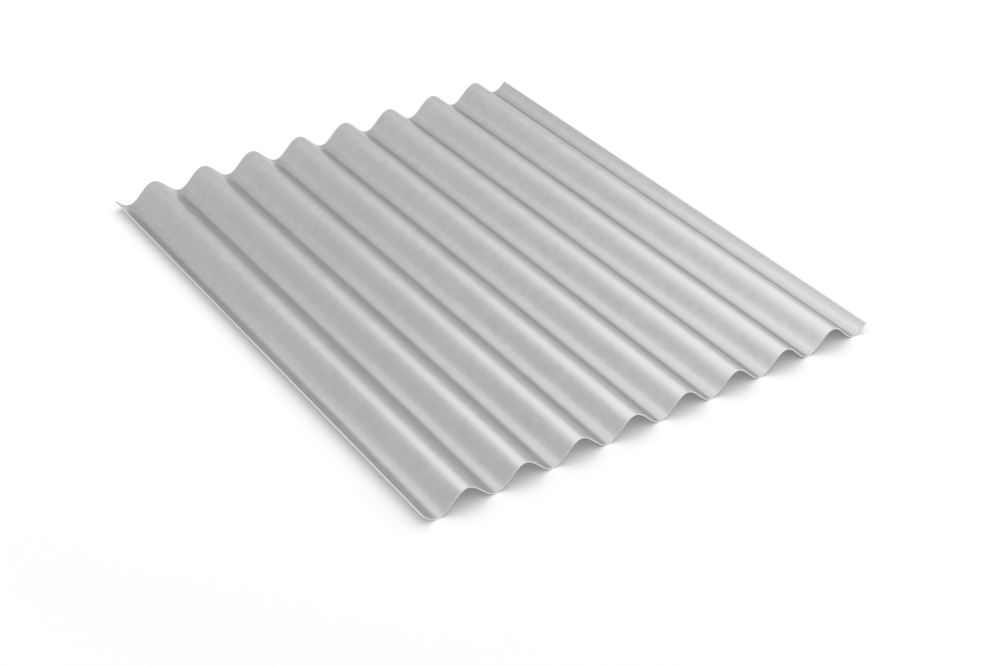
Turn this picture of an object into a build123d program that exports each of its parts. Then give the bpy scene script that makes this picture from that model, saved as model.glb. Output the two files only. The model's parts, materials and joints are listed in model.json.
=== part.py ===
from build123d import *
import os
from math import atan, cos, degrees, pi, sin

# A corrugated roofing sheet of galvanized steel: one piece of coil, rolled to waves and sheared square.
# X runs across the waves, Y along them and Z is up. The origin lies on the floor under the middle of
# the sheet. All lengths are in millimetres.

# Driving dimensions
LENGTH = 706.6  # along the waves, from sheared end to sheared end
PITCH = 67.733  # across, from crest to crest
DEPTH = 22.225  # from valley to crest, measured on one face
THICKNESS = 1.31  # steel together with its zinc coat
CREST_COUNT = 8  # with a valley outside each outer crest; the long edges stop half way up the next flank

# Share of the flank's tilt that the tight bend over a crest or valley turns; the easy bend turns the rest
tight_turn_share = 0.85

# Tilts in the middle of the metal, in radians; a flank is as steep as a sine wave of this pitch and depth
flank_tilt = atan(pi * DEPTH / PITCH)
tight_tilt = tight_turn_share * flank_tilt

half_thickness = THICKNESS / 2
half_span = (CREST_COUNT / 2 + 1 / 4) * PITCH


def bend_radii():
    """Radii of the tight and the easy bend, which together climb from a valley to the middle of a flank."""
    tight_run, tight_rise = sin(tight_tilt), 1 - cos(tight_tilt)
    easy_run, easy_rise = sin(flank_tilt) - tight_run, cos(tight_tilt) - cos(flank_tilt)
    run, rise = PITCH / 4, DEPTH / 2
    area = tight_run * easy_rise - easy_run * tight_rise
    return (run * easy_rise - rise * easy_run) / area, (rise * tight_run - run * tight_rise) / area


def half_wave():
    """The bends from the middle of one flank to the middle of the next, as radius and turn in degrees."""
    tight_radius, easy_radius = bend_radii()
    easy_turn = degrees(flank_tilt - tight_tilt)
    return [(easy_radius, easy_turn), (tight_radius, degrees(2 * tight_tilt)), (easy_radius, easy_turn)]


def skin(side):
    """The upper skin (side 1) or the lower skin (side -1), from the left long edge to the right one."""
    offset = side * half_thickness
    place = Vector(-half_span, half_thickness + DEPTH / 2)
    place += offset * Vector(sin(flank_tilt), cos(flank_tilt))
    heading = Vector(cos(flank_tilt), -sin(flank_tilt))
    line = Curve()
    for n in range(2 * CREST_COUNT + 1):
        upward = 1 if n % 2 == 0 else -1
        for radius, turn in half_wave():
            bend = JernArc(place, heading, radius - upward * offset, upward * turn)
            place, heading = bend @ 1, bend % 1
            line += bend
    return line


def rolled_section():
    """The cut end of the sheet: two skins one thickness apart, closed squarely at the long edges."""
    upper, lower = skin(1), skin(-1)
    return make_face([upper, lower, Line(upper @ 0, lower @ 0), Line(upper @ 1, lower @ 1)])


corrugated_sheet = extrude(Plane.XZ * rolled_section(), amount=LENGTH / 2, both=True)

os.makedirs("parts", exist_ok=True)
export_step(corrugated_sheet, "parts/corrugated_sheet.step")
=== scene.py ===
import bpy
import json
import numpy as np
from math import cos, pi, radians, sin
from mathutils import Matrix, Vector


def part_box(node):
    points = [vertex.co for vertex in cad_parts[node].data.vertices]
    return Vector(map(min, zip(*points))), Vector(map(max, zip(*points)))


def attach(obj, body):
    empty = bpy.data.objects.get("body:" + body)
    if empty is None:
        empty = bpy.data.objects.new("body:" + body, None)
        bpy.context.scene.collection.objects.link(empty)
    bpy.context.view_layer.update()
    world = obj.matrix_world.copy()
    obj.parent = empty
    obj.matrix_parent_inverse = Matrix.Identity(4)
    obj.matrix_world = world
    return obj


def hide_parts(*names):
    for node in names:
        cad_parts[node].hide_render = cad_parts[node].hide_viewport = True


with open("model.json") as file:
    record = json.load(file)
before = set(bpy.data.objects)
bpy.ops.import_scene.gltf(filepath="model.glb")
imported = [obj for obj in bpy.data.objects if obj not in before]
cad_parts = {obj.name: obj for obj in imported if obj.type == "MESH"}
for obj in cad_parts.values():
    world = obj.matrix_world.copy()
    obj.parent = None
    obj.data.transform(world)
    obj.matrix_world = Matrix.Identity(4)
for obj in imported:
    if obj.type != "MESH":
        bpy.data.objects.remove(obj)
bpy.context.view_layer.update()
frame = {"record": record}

# A corrugated sheet of galvanized steel, in metres: X across the waves, Y along them, Z up from the floor.
# Its sizes are read from the frame. The side lap's place is the upper skin in the outermost valley.
CREST_COUNT = 8
side_lap = next(mount["pos_m"] for mount in frame["record"]["mounts"] if mount["name"] == "right_side_lap")
low_corner, high_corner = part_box("corrugated_sheet")
OUTER_VALLEY = side_lap[0]
THICKNESS = side_lap[2]
PITCH = 2 * OUTER_VALLEY / CREST_COUNT
LONG_EDGE = OUTER_VALLEY + PITCH / 4
LENGTH = high_corner.y - low_corner.y
DEPTH = high_corner.z - low_corner.z - THICKNESS

# The sheared edge: the blade rounds the upper corner over and leaves the lower one sharp
ROLLOVER = 0.00022
LOWER_CORNER = 0.00004
ROLLOVER_STEPS = 4

# Mesh steps: across one wave, and along the sheet
STEPS_PER_WAVE = 40
STEPS_ALONG = 48

# Noise: how many layers, how strong its finer layers are, and the middle of its range
PLAIN_DETAIL = 2.0
FINE_DETAIL = 3.0
FINE_LAYER_STRENGTH = 0.55
MIDDLE = 0.5

# Where a Mix node has its share and its colours, among its sockets for numbers and vectors
MIX_SHARE = 0
MIX_FIRST_COLOUR = 6
MIX_SECOND_COLOUR = 7
MIX_RESULT_COLOUR = 2

# Zinc finish: sizes of its marks
CRYSTAL_SIZE = 0.0095
GRAIN_SIZE = 0.0016
STREAK_WIDTH = 0.0035
STREAK_LENGTH = 0.35
CLOUD_SIZE = 0.09

# Zinc finish: its grey, how far the grey strays, and each mark's part in that
ZINC_GREY = 0.44
ZINC_GREY_STRAY = 0.05
CRYSTAL_TONE = 0.50
STREAK_TONE = 0.55
CLOUD_TONE = 0.50
GRAIN_TONE = 0.35
# Painted shade: the zinc's colour darkens along the bottom of each valley; how high it reaches, as a share of
# the wave's depth, and how much darker
VALLEY_PAINTED_SHADE_SHARE = 0.22
VALLEY_PAINTED_SHADE_TONE = 0.18

# Zinc finish: its gloss, and how far its surface leans or rises
ZINC_ROUGHNESS = 0.375
CRYSTAL_GLOSS = 0.03
CLOUD_GLOSS = 0.06
STREAK_GLOSS = 0.04
CRYSTAL_LEAN = 0.012
GRAIN_RELIEF = 0.000004
STREAK_RELIEF = 0.000004

# Cut steel, as shares of the thickness from the upper skin down: zinc drawn over the corner, a smooth band
# that ends in an uneven line, torn metal, and the burr
ZINC_DRAWN_SHARE = 0.15
SMOOTH_BAND_SHARE = 0.42
BAND_FADE_SHARE = 0.06
BURR_SHARE = 0.95
BAND_WAVER = 0.25
BAND_FRAY = 0.06

# Cut steel: sizes of the blade's scores, the torn grain and the smears, and their greys, gloss and relief
SCORE_WIDTH = 0.0005
SCORE_LENGTH = 0.004
TORN_SIZE = 0.0004
SMEAR_SIZE = 0.006
DRAWN_GREY = 0.55
SMOOTH_GREY = 0.80
TORN_GREY = 0.66
MARK_GREY = 0.40
MARK_TONE = 0.12
SCORE_TONE = 0.30
TORN_TONE = 0.35
SMOOTH_ROUGHNESS = 0.28
TORN_ROUGHNESS = 0.50
MARK_GLOSS = 0.20
SCORE_RELIEF = 0.000004
TORN_RELIEF = 0.00002

# White studio: a floor that glows white further out, a surround, and two softboxes side by side overhead,
# a wide one and a brighter one behind it
FLOOR_REACH = 30.0
FLOOR_GREY = 0.92
FLOOR_GLOW = 0.12
FLOOR_GLOW_START = 0.6
FLOOR_GLOW_END = 2.0
SURROUND_LIGHT = 0.58
SOFTBOX_HEIGHT = 1.88
SOFTBOX_LEFT = -1.5
SOFTBOX_RIGHT = 5.0
WIDE_SOFTBOX_FRONT = -5.0
BACK_SOFTBOX_FRONT = 0.2
BACK_SOFTBOX_BACK = 1.75
WIDE_SOFTBOX_RADIANCE = 0.40
BACK_SOFTBOX_RADIANCE = 1.10

# The camera, fitted to the photograph, whose width is given in pixels; angles in degrees, the sensor in mm
IMAGE_WIDTH = 998
FOCAL_PIXELS = 1740.35
CAMERA_AZIMUTH = -34.154
CAMERA_ELEVATION = 34.922
CAMERA_DISTANCE = 1.91797
CAMERA_TARGET = Vector((-0.04861, -0.12944, 0.00131))
SENSOR_WIDTH = 36.0
NEAR_LIMIT = 0.01
FAR_LIMIT = 100.0


class Signal:
    """One output socket. Sums and products of signals and numbers add Math nodes beside it."""

    def __init__(self, bench, socket):
        self.bench = bench
        self.socket = socket

    def __getitem__(self, name):
        return Signal(self.bench, self.socket.node.outputs[name])

    def __add__(self, other):
        return self.bench.math("ADD", self, other)

    def __sub__(self, other):
        return self.bench.math("SUBTRACT", self, other)

    def __rsub__(self, other):
        return self.bench.math("SUBTRACT", other, self)

    def __mul__(self, other):
        return self.bench.math("MULTIPLY", self, other)

    __radd__ = __add__
    __rmul__ = __mul__


class Bench:
    """A node tree that finishes are put together on."""

    def __init__(self, tree):
        self.tree = tree
        tree.nodes.clear()

    def node(self, kind, settings=None, sockets=None, output=0):
        """Adds a node: its settings first, then the value or link of each input; gives one of its outputs."""
        new = self.tree.nodes.new(kind)
        for name, value in (settings or {}).items():
            if name == "stops":
                self.set_stops(new.color_ramp, value)
            else:
                setattr(new, name, value)
        for name, value in (sockets or {}).items():
            if isinstance(value, Signal):
                self.tree.links.new(value.socket, new.inputs[name])
            else:
                new.inputs[name].default_value = value
        return Signal(self, new.outputs[output]) if new.outputs else None

    @staticmethod
    def set_stops(ramp, stops):
        """Lays out a ramp's colours. The first stop is at 0 and the last at 1, as on a new ramp."""
        for place, _ in stops[1:-1]:
            ramp.elements.new(place)
        for element, (_, colour) in zip(ramp.elements, stops):
            element.color = colour

    def math(self, operation, first, second):
        return self.node("ShaderNodeMath", {"operation": operation}, {0: first, 1: second})

    def vector(self, operation, first, second):
        return self.node("ShaderNodeVectorMath", {"operation": operation}, {0: first, 1: second})

    def blend(self, share, first, second):
        """A colour between two others."""
        sockets = {MIX_SHARE: share, MIX_FIRST_COLOUR: first, MIX_SECOND_COLOUR: second}
        return self.node("ShaderNodeMix", {"data_type": "RGBA"}, sockets, MIX_RESULT_COLOUR)

    def fade(self, value, start, end, before, after):
        """A smooth step from one number to another, while a value goes from start to end."""
        sockets = {"Value": value, "From Min": start, "From Max": end, "To Min": before, "To Max": after}
        return self.node("ShaderNodeMapRange", {"interpolation_type": "SMOOTHSTEP"}, sockets)

    def metal(self, colour, roughness, normal):
        """Bare metal, as the surface of this tree's material."""
        sockets = {"Base Color": colour, "Metallic": 1.0, "Roughness": roughness, "Normal": normal}
        shader = self.node("ShaderNodeBsdfPrincipled", None, sockets)
        self.node("ShaderNodeOutputMaterial", None, {"Surface": shader})


def grey(value):
    return (value, value, value, 1.0)


BLACK = grey(0.0)
WHITE = grey(1.0)


def new_finish(name):
    material = bpy.data.materials.new(name)
    material.use_nodes = True
    return material, Bench(material.node_tree)


def shape_noise(bench, place, size, detail=PLAIN_DETAIL):
    """Soft uneven noise of about this size, centred on zero."""
    sockets = {"Vector": place, "Scale": 1 / size, "Detail": detail, "Roughness": FINE_LAYER_STRENGTH}
    return bench.node("ShaderNodeTexNoise", {"noise_dimensions": "3D"}, sockets) - MIDDLE


def zinc_skin():
    """Hot-dip zinc: faint flat crystals, fine grain, streaks along the sheet, a soft uneven sheen, and
    painted shade along the bottom of each valley.
    """
    material, bench = new_finish("zinc_skin")
    place = bench.node("ShaderNodeTexCoord", output="Object")
    drawn = bench.vector("MULTIPLY", place, (1 / STREAK_WIDTH, 1 / STREAK_LENGTH, 1 / STREAK_WIDTH))
    crystal = bench.node(
        "ShaderNodeTexVoronoi",
        {"feature": "F1", "voronoi_dimensions": "3D"},
        {"Vector": place, "Scale": 1 / CRYSTAL_SIZE, "Randomness": 1.0},
        "Color",
    )
    crystal_tone = bench.node("ShaderNodeSeparateColor", None, {"Color": crystal}, "Red") - MIDDLE
    grain = shape_noise(bench, place, GRAIN_SIZE)
    cloud = shape_noise(bench, place, CLOUD_SIZE)
    streak = shape_noise(bench, drawn, 1.0, FINE_DETAIL)

    # Painted shade: the zinc's colour is darkened along the bottom of each valley, where the neighbouring
    # waves shade it
    height = bench.node("ShaderNodeSeparateXYZ", None, {"Vector": place}, "Z")
    painted_valley_shade = bench.fade(height, THICKNESS, VALLEY_PAINTED_SHADE_SHARE * DEPTH, VALLEY_PAINTED_SHADE_TONE, 0.0)
    tone = MIDDLE + crystal_tone * CRYSTAL_TONE + streak * STREAK_TONE
    tone = tone + cloud * CLOUD_TONE + grain * GRAIN_TONE
    darker = grey(ZINC_GREY * (1 - ZINC_GREY_STRAY))
    lighter = grey(ZINC_GREY * (1 + ZINC_GREY_STRAY))
    colour = bench.blend(painted_valley_shade, bench.blend(tone, darker, lighter), BLACK)
    roughness = ZINC_ROUGHNESS + crystal_tone * CRYSTAL_GLOSS + cloud * CLOUD_GLOSS + streak * STREAK_GLOSS

    # Each crystal leans a little its own way, and the grain and the drawn streaks lie over it
    facing = bench.node("ShaderNodeNewGeometry", output="Normal")
    leaning = bench.vector("SUBTRACT", crystal, (MIDDLE, MIDDLE, MIDDLE))
    leaning = bench.vector("MULTIPLY", leaning, (CRYSTAL_LEAN, CRYSTAL_LEAN, CRYSTAL_LEAN))
    leaning = bench.vector("ADD", facing, leaning)
    relief = grain * GRAIN_RELIEF + streak * STREAK_RELIEF
    sockets = {"Strength": 1.0, "Distance": 1.0, "Height": relief, "Normal": leaning}
    bench.metal(colour, roughness, bench.node("ShaderNodeBump", None, sockets))
    return material


def sheared_steel():
    """The cut edge: zinc drawn over its upper corner, a smooth band scored by the blade, then torn metal."""
    material, bench = new_finish("sheared_steel")
    place = bench.node("ShaderNodeTexCoord", output="Object")
    scored = bench.vector("MULTIPLY", place, (1 / SCORE_WIDTH, 1 / SCORE_WIDTH, 1 / SCORE_LENGTH))
    score = shape_noise(bench, scored, 1.0, FINE_DETAIL)
    torn = shape_noise(bench, place, TORN_SIZE)
    smear = shape_noise(bench, place, SMEAR_SIZE)

    # The smooth band ends in an uneven line
    depth = bench.node("ShaderNodeAttribute", {"attribute_name": "cut_depth"}, output="Fac")
    depth = depth + smear * BAND_WAVER + torn * BAND_FRAY
    torn_start = SMOOTH_BAND_SHARE + BAND_FADE_SHARE
    stops = [
        (0.0, grey(DRAWN_GREY)),
        (ZINC_DRAWN_SHARE, grey(SMOOTH_GREY)),
        (SMOOTH_BAND_SHARE, grey(SMOOTH_GREY)),
        (torn_start, grey(TORN_GREY)),
        (BURR_SHARE, grey(TORN_GREY)),
        (1.0, grey(SMOOTH_GREY)),
    ]
    cut_tone = bench.node("ShaderNodeValToRGB", {"stops": stops}, {"Fac": depth})
    tornness = bench.fade(depth, SMOOTH_BAND_SHARE, torn_start, 0.0, 1.0)
    marks = (1 - tornness) * score * SCORE_TONE + tornness * torn * TORN_TONE
    colour = bench.blend(MARK_TONE + marks, cut_tone, grey(MARK_GREY))
    roughness = SMOOTH_ROUGHNESS + tornness * (TORN_ROUGHNESS - SMOOTH_ROUGHNESS) + marks * MARK_GLOSS
    relief = (1 - tornness) * score * SCORE_RELIEF + tornness * torn * TORN_RELIEF
    bumped = bench.node("ShaderNodeBump", None, {"Strength": 1.0, "Distance": 1.0, "Height": relief})
    bench.metal(colour, roughness, bumped)
    return material


def section_at(across):
    """Middle of the metal across the sheet, and the direction square to it, as arrays of X and Z."""
    angle = 2 * pi * (across + OUTER_VALLEY) / PITCH
    slope = pi * DEPTH / PITCH * np.sin(angle)
    height = THICKNESS / 2 + DEPTH / 2 * (1 - np.cos(angle))
    stretch = np.hypot(1, slope)
    return height, -slope / stretch, 1 / stretch


def edge_profile():
    """Steps round the sheared edge from the upper skin to the lower one: how far each lies inside the
    outline, its height in the metal (1 on top, -1 below), and the outward and upward parts of its facing."""
    half = THICKNESS / 2
    turns = [pi / 2 * n / ROLLOVER_STEPS for n in range(ROLLOVER_STEPS + 1)]
    steps = [(ROLLOVER * (1 - sin(t)), 1 - ROLLOVER * (1 - cos(t)) / half, sin(t), cos(t)) for t in turns]
    return steps + [(0.0, LOWER_CORNER / half - 1, 1.0, 0.0), (LOWER_CORNER, -1.0, 0.0, -1.0)]


def sheet_places(across_share, along_share, inset, height, out, up):
    """Places on the sheet, and their facings, from shares of its width and length and a step of the edge."""
    side = 2 * across_share - 1
    end = 2 * along_share - 1
    across = side * (LONG_EDGE - inset)
    middle, lean_x, lean_z = section_at(across)
    lift = height * THICKNESS / 2
    places = np.stack([across + lift * lean_x, end * (LENGTH / 2 - inset), middle + lift * lean_z], axis=1)

    on_side = np.where(np.abs(side) == 1, side, 0)
    on_end = np.where(np.abs(end) == 1, end, 0)
    corner = np.maximum(np.hypot(on_side, on_end), 1)
    facings = np.stack(
        [
            up * lean_x + out * on_side / corner * lean_z,
            out * on_end / corner,
            up * lean_z - out * on_side / corner * lean_x,
        ],
        axis=1,
    )
    return places, facings


def rim_loop(columns, rows):
    """The grid's outer points in order: along the front, up the right, along the back and down the left."""
    front = np.arange(columns - 1)
    right = np.arange(rows - 1) * columns + columns - 1
    back = (rows - 1) * columns + np.arange(columns - 1, 0, -1)
    left = np.arange(rows - 1, 0, -1) * columns
    return np.concatenate([front, right, back, left])


def sheet_skins_and_edges():
    """The rolled sheet as one closed mesh: two smooth skins and the sheared edge all round."""
    columns = round((CREST_COUNT + 1 / 2) * STEPS_PER_WAVE) + 1
    rows = STEPS_ALONG + 1
    column, row = np.meshgrid(np.arange(columns), np.arange(rows))
    across_share = column.ravel() / (columns - 1)
    along_share = row.ravel() / (rows - 1)
    rim = rim_loop(columns, rows)

    profile = edge_profile()
    layers = [sheet_places(across_share, along_share, *profile[0])]
    for step in profile[1:-1]:
        layers.append(sheet_places(across_share[rim], along_share[rim], *step))
    layers.append(sheet_places(across_share, along_share, *profile[-1]))
    places = np.concatenate([layer[0] for layer in layers])
    facings = np.concatenate([layer[1] for layer in layers])
    depths = [np.full(len(layer[0]), (1 - step[1]) / 2) for layer, step in zip(layers, profile)]

    skin_count = columns * rows
    corner = (np.arange(rows - 1)[:, None] * columns + np.arange(columns - 1)).ravel()
    upper = np.stack([corner, corner + 1, corner + columns + 1, corner + columns], axis=1)
    lower_start = skin_count + (len(profile) - 2) * len(rim)
    lower = upper[:, ::-1] + lower_start

    rings = [rim]
    for n in range(len(profile) - 2):
        rings.append(skin_count + n * len(rim) + np.arange(len(rim)))
    rings.append(rim + lower_start)
    bands = []
    for above, below in zip(rings, rings[1:]):
        bands.append(np.stack([above, below, np.roll(below, -1), np.roll(above, -1)], axis=1))
    skins = np.concatenate([upper, lower])
    return places, facings, np.concatenate(depths), skins, np.concatenate(bands)


def build_sheet():
    places, facings, depths, skins, edge = sheet_skins_and_edges()
    mesh = bpy.data.meshes.new("galvanized_sheet")
    mesh.from_pydata(places.tolist(), [], np.concatenate([skins, edge]).tolist())
    mesh.materials.append(zinc_skin())
    mesh.materials.append(sheared_steel())
    finish = np.concatenate([np.zeros(len(skins), int), np.ones(len(edge), int)])
    mesh.polygons.foreach_set("material_index", finish)
    mesh.polygons.foreach_set("use_smooth", np.ones(len(finish), bool))
    mesh.attributes.new("cut_depth", "FLOAT", "POINT").data.foreach_set("value", depths)
    mesh.normals_split_custom_set_from_vertices(facings.tolist())
    mesh.update()
    sheet = bpy.data.objects.new("galvanized_sheet", mesh)
    bpy.context.scene.collection.objects.link(sheet)
    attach(sheet, "root")
    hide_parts("corrugated_sheet")


def seen_directly(bench):
    """1 for what the eye, a gloss or a clear body sees, 0 for light that only falls on something."""
    path = bench.node("ShaderNodeLightPath", output="Is Camera Ray")
    mirrored = bench.math("MAXIMUM", path["Is Glossy Ray"], path["Is Transmission Ray"])
    return bench.math("MAXIMUM", path, mirrored)


def build_floor():
    """A plain white floor that keeps the sheet's shadow and runs out into white."""
    material, bench = new_finish("white_floor")
    place = bench.node("ShaderNodeTexCoord", output="Object")
    distance = bench.node("ShaderNodeVectorMath", {"operation": "LENGTH"}, {0: place}, "Value")
    glow = seen_directly(bench) * bench.fade(distance, FLOOR_GLOW_START, FLOOR_GLOW_END, FLOOR_GLOW, 1.0)
    matt = bench.node("ShaderNodeBsdfDiffuse", None, {"Color": grey(FLOOR_GREY)})
    glow_colour = bench.blend(glow, BLACK, WHITE)
    glowing = bench.node("ShaderNodeEmission", None, {"Color": glow_colour, "Strength": 1.0})
    both = bench.node("ShaderNodeAddShader", None, {0: matt, 1: glowing})
    bench.node("ShaderNodeOutputMaterial", None, {"Surface": both})
    corners = [(x * FLOOR_REACH, y * FLOOR_REACH, 0.0) for x, y in ((-1, -1), (1, -1), (1, 1), (-1, 1))]
    mesh = bpy.data.meshes.new("floor")
    mesh.from_pydata(corners, [], [(0, 1, 2, 3)])
    mesh.materials.append(material)
    floor = bpy.data.objects.new("floor", mesh)
    bpy.context.scene.collection.objects.link(floor)


def build_surround():
    """A white surround to the eye and to the metal, and a plain soft light to everything else."""
    world = bpy.data.worlds.new("white_surround")
    bpy.context.scene.world = world
    world.use_nodes = True
    bench = Bench(world.node_tree)
    strength = SURROUND_LIGHT + seen_directly(bench) * (1 - SURROUND_LIGHT)
    light = bench.node("ShaderNodeBackground", None, {"Color": WHITE, "Strength": strength})
    bench.node("ShaderNodeOutputWorld", None, {"Surface": light})


def build_softbox(name, front, back, radiance):
    """A panel overhead that faces down. Its radiance is its power over pi times its area."""
    width = SOFTBOX_RIGHT - SOFTBOX_LEFT
    depth = back - front
    lamp = bpy.data.lights.new(name, "AREA")
    lamp.shape = "RECTANGLE"
    lamp.size = width
    lamp.size_y = depth
    lamp.energy = radiance * pi * width * depth
    softbox = bpy.data.objects.new(name, lamp)
    softbox.location = ((SOFTBOX_LEFT + SOFTBOX_RIGHT) / 2, (front + back) / 2, SOFTBOX_HEIGHT)
    bpy.context.scene.collection.objects.link(softbox)


def build_camera():
    azimuth = radians(CAMERA_AZIMUTH)
    elevation = radians(CAMERA_ELEVATION)
    away = Vector((sin(azimuth) * cos(elevation), -cos(azimuth) * cos(elevation), sin(elevation)))
    lens = bpy.data.cameras.new("camera")
    lens.sensor_fit = "HORIZONTAL"
    lens.sensor_width = SENSOR_WIDTH
    lens.lens = FOCAL_PIXELS * SENSOR_WIDTH / IMAGE_WIDTH
    lens.clip_start = NEAR_LIMIT
    lens.clip_end = FAR_LIMIT
    camera = bpy.data.objects.new("camera", lens)
    camera.location = CAMERA_TARGET + away * CAMERA_DISTANCE
    camera.rotation_euler = (-away).to_track_quat("-Z", "Y").to_euler()
    bpy.context.scene.collection.objects.link(camera)
    bpy.context.scene.camera = camera


bpy.context.scene.view_settings.view_transform = "Standard"
build_sheet()
build_floor()
build_surround()
build_softbox("wide_softbox", WIDE_SOFTBOX_FRONT, BACK_SOFTBOX_FRONT, WIDE_SOFTBOX_RADIANCE)
build_softbox("back_softbox", BACK_SOFTBOX_FRONT, BACK_SOFTBOX_BACK, BACK_SOFTBOX_RADIANCE)
build_camera()
